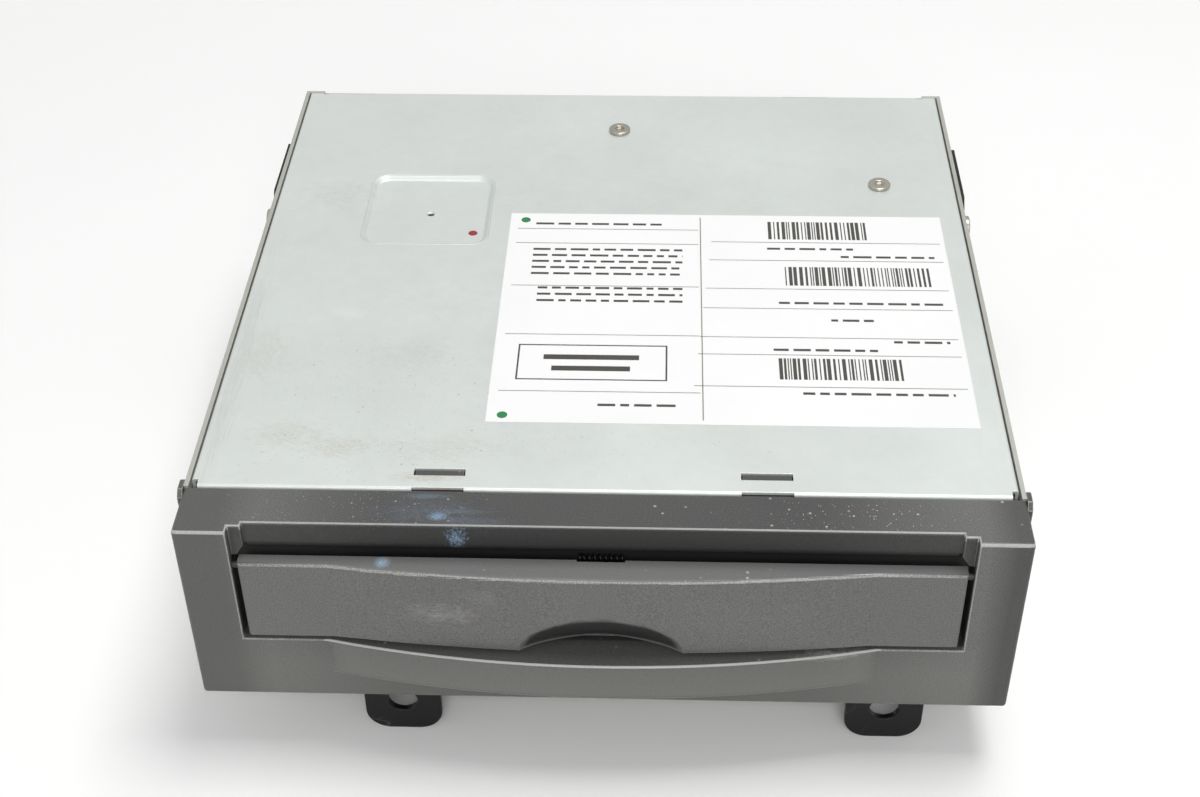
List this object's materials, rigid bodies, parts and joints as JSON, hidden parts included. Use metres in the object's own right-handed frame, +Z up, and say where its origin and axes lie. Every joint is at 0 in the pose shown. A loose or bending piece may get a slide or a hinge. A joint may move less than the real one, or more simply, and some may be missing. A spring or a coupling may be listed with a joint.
{
  "type": "car navigation disc reader",
  "caption": "Slot-loading disc reader in a flat steel casing with a dark moulded front, a top-hinged flap with finger scoop, a bowed lip and a black bracket with mounting ears.",
  "frame": {"origin": "centre of the bounding box at the level the bracket ears stand on", "axes": "+X to the right seen from the front, +Y from the front to the rear sockets, +Z up"},
  "size_m": [0.1842, 0.196, 0.067],
  "materials": {
    "bezel_plastic": "fine-grained moulded plastic",
    "zinc_steel": "zinc-plated sheet",
    "cover_steel": "zinc-plated sheet",
    "black_steel": "black coated sheet",
    "screw_metal": "nickel-plated",
    "dark_screw": "dark zinc",
    "paper": "coated paper label",
    "spring_steel": "drawn wire",
    "black_plastic": "moulded plastic",
    "clear_plastic": "clear window",
    "felt": "woven strip",
    "rubber": "moulded rubber",
    "white_plastic": "acetal",
    "motor_can": "plated can",
    "ground_steel": "ground rod",
    "brass_part": "turned brass",
    "board_green": "solder mask",
    "chip_black": "moulded package",
    "heat_sink": "extruded",
    "tinned_steel": "tinned sheet",
    "capacitor_can": "drawn can",
    "lens_glass": "coated lens",
    "gold_pin": "plated contact",
    "film": "thin film",
    "ribbon": "flat cable"
  },
  "bodies": {
    "casing": {"front_bezel": "bezel_plastic", "flap_spring": "spring_steel", "eject_switch": "black_plastic", "front_board": "board_green", "front_board_posts": "black_plastic", "front_board_screws": "dark_screw", "light_window": "clear_plastic", "felt_strip_lower": "felt", "felt_strip_upper": "felt", "chassis_tray": "zinc_steel", "main_board_screws": "dark_screw", "insulating_film": "film", "top_cover": "cover_steel", "cover_screws": "screw_metal", "label_sticker": "paper", "mounting_bracket": "black_steel", "bracket_screws": "dark_screw", "side_screws": "screw_metal", "frame_rivets": "screw_metal", "loader_frame": "zinc_steel", "disc_guide": "black_plastic", "floating_deck": "zinc_steel", "rubber_dampers": "rubber", "damper_springs": "spring_steel", "deck_screws": "dark_screw", "spindle_motor": "motor_can", "guide_rods": "ground_steel", "sled_motor": "motor_can", "clamp_arm_rod": "ground_steel", "clamp_spring": "spring_steel", "roller_bushes": "white_plastic", "gear_post": "ground_steel", "loading_motor": "motor_can", "main_board": "board_green", "processor": "chip_black", "heat_sink": "heat_sink", "memory_chips": "chip_black", "capacitors": "capacitor_can", "tuner_shield": "tinned_steel", "turn_sensor": "chip_black", "wiring_connector": "black_plastic", "connector_pins": "gold_pin", "positioning_socket": "white_plastic", "radio_socket": "white_plastic", "ribbon_cable": "ribbon"},
    "flap": {"flap": "bezel_plastic", "flap_pins": "ground_steel"},
    "eject_button": {"eject_button": "bezel_plastic", "switch_plunger": "white_plastic"},
    "turntable": {"turntable": "black_plastic"},
    "clamp_arm": {"clamp_arm": "zinc_steel"},
    "clamper": {"clamper": "white_plastic"},
    "pickup": {"pickup_body": "black_plastic", "pickup_lens": "lens_glass"},
    "lead_screw": {"lead_screw": "ground_steel"},
    "feed_roller": {"roller_shaft": "ground_steel", "rubber_rollers": "rubber", "roller_gear": "white_plastic"},
    "loading_gear": {"loading_gear": "white_plastic"},
    "motor_pinion": {"motor_pinion": "brass_part"}
  },
  "joints": [
    {"name": "flap_hinge", "type": "hinge", "parent": "casing", "child": "flap", "pos_m": [0, -0.0898, 0.0547], "axis": [-1, 0, 0], "range_deg": [0, 90], "stiffness_Nm_per_rad": 0.004, "springref_deg": -20.05},
    {"name": "eject_press", "type": "slide", "parent": "casing", "child": "eject_button", "axis": [0, 1, 0], "range_m": [0, 0.0008], "stiffness_N_per_m": 900, "springref_m": -0.0006},
    {"name": "spindle_spin", "type": "hinge", "parent": "casing", "child": "turntable", "pos_m": [0, -0.0095, 0.0406], "axis": [0, 0, 1], "continuous": true},
    {"name": "clamp_arm_hinge", "type": "hinge", "parent": "casing", "child": "clamp_arm", "pos_m": [0, 0.0585, 0.057], "axis": [-1, 0, 0], "range_deg": [-5.5, 0]},
    {"name": "clamper_spin", "type": "hinge", "parent": "clamp_arm", "child": "clamper", "pos_m": [0, -0.0095, 0.0506], "axis": [0, 0, 1], "continuous": true},
    {"name": "sled_slide", "type": "slide", "parent": "casing", "child": "pickup", "axis": [1, 0, 0], "range_m": [0, 0.033]},
    {"name": "lead_screw_spin", "type": "hinge", "parent": "casing", "child": "lead_screw", "pos_m": [0.03, 0.0145, 0.0315], "axis": [1, 0, 0], "range_deg": [0, 3960]},
    {"name": "roller_spin", "type": "hinge", "parent": "casing", "child": "feed_roller", "pos_m": [0, -0.0695, 0.0381], "axis": [1, 0, 0], "continuous": true},
    {"name": "loading_gear_spin", "type": "hinge", "parent": "casing", "child": "loading_gear", "pos_m": [-0.076, -0.0567, 0.0381], "axis": [1, 0, 0], "continuous": true},
    {"name": "motor_pinion_spin", "type": "hinge", "parent": "casing", "child": "motor_pinion", "pos_m": [-0.076, -0.04313, 0.02962], "axis": [1, 0, 0], "continuous": true}
  ],
  "couplings": [
    {"joint": "lead_screw_spin", "follows": "sled_slide", "rad_per_m": 2094.4},
    {"joint": "loading_gear_spin", "follows": "roller_spin", "ratio": -1.6667},
    {"joint": "motor_pinion_spin", "follows": "roller_spin", "ratio": 5}
  ]
}
